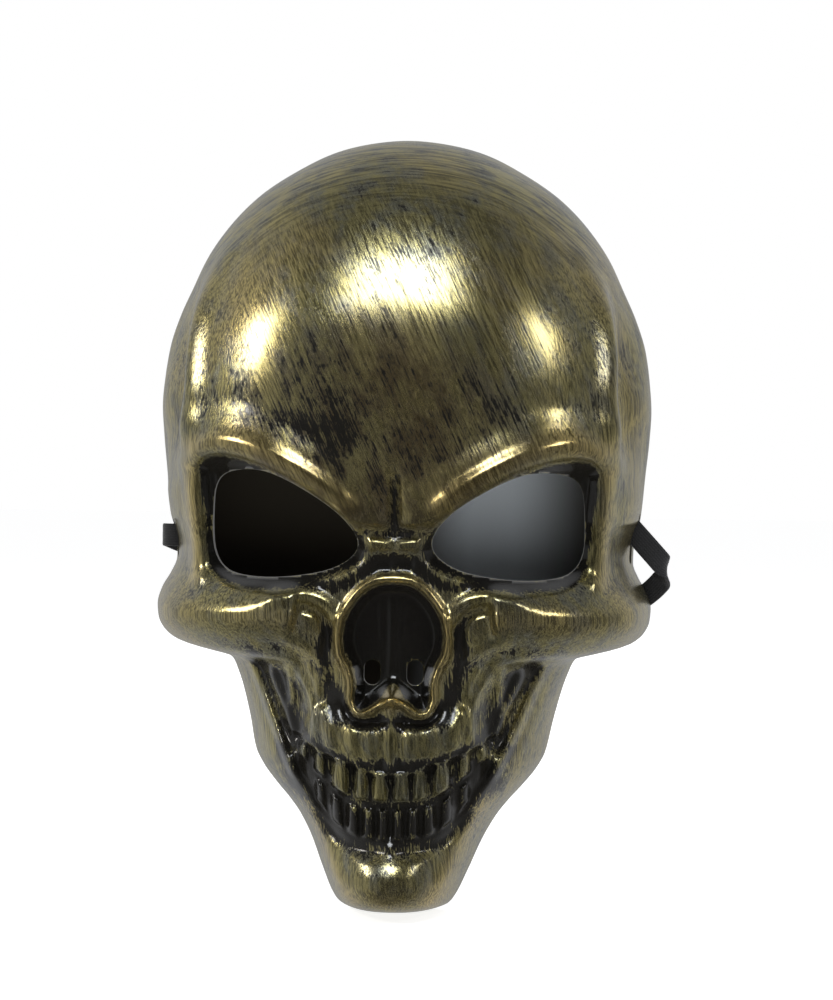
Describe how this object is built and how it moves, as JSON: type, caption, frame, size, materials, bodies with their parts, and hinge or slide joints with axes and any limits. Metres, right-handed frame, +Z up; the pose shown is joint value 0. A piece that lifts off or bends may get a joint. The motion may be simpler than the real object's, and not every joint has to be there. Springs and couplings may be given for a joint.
{
  "type": "skull face mask",
  "caption": "Rigid moulded skull face mask with open eye holes, breathing holes and a flat elastic head band looped through side slots.",
  "frame": {"origin": "midway between the two strap slots, where the head band pulls the mask onto the head", "axes": "+Z up to the crown as worn, the face looks along -Y, +X to the wearer's left"},
  "size_m": [0.183, 0.1092, 0.2655],
  "materials": {
    "antique_brass_paint": "glossy antique brass dry-brushed over black on moulded plastic",
    "black_elastic": "matt braided elastic",
    "black_thread": "matt sewing thread"
  },
  "bodies": {
    "mask": {"face_shell": "antique_brass_paint", "loop_left": "black_elastic", "loop_right": "black_elastic", "bar_tack_left": "black_thread", "bar_tack_right": "black_thread"},
    "band": {"elastic_strap": "black_elastic"}
  },
  "joints": [
    {"name": "strap_swing", "type": "hinge", "parent": "mask", "child": "band", "pos_m": [0.004, 0.0199, -0.01636], "axis": [0.9936, -0.0042, -0.1127], "range_deg": [-10, 100]}
  ]
}
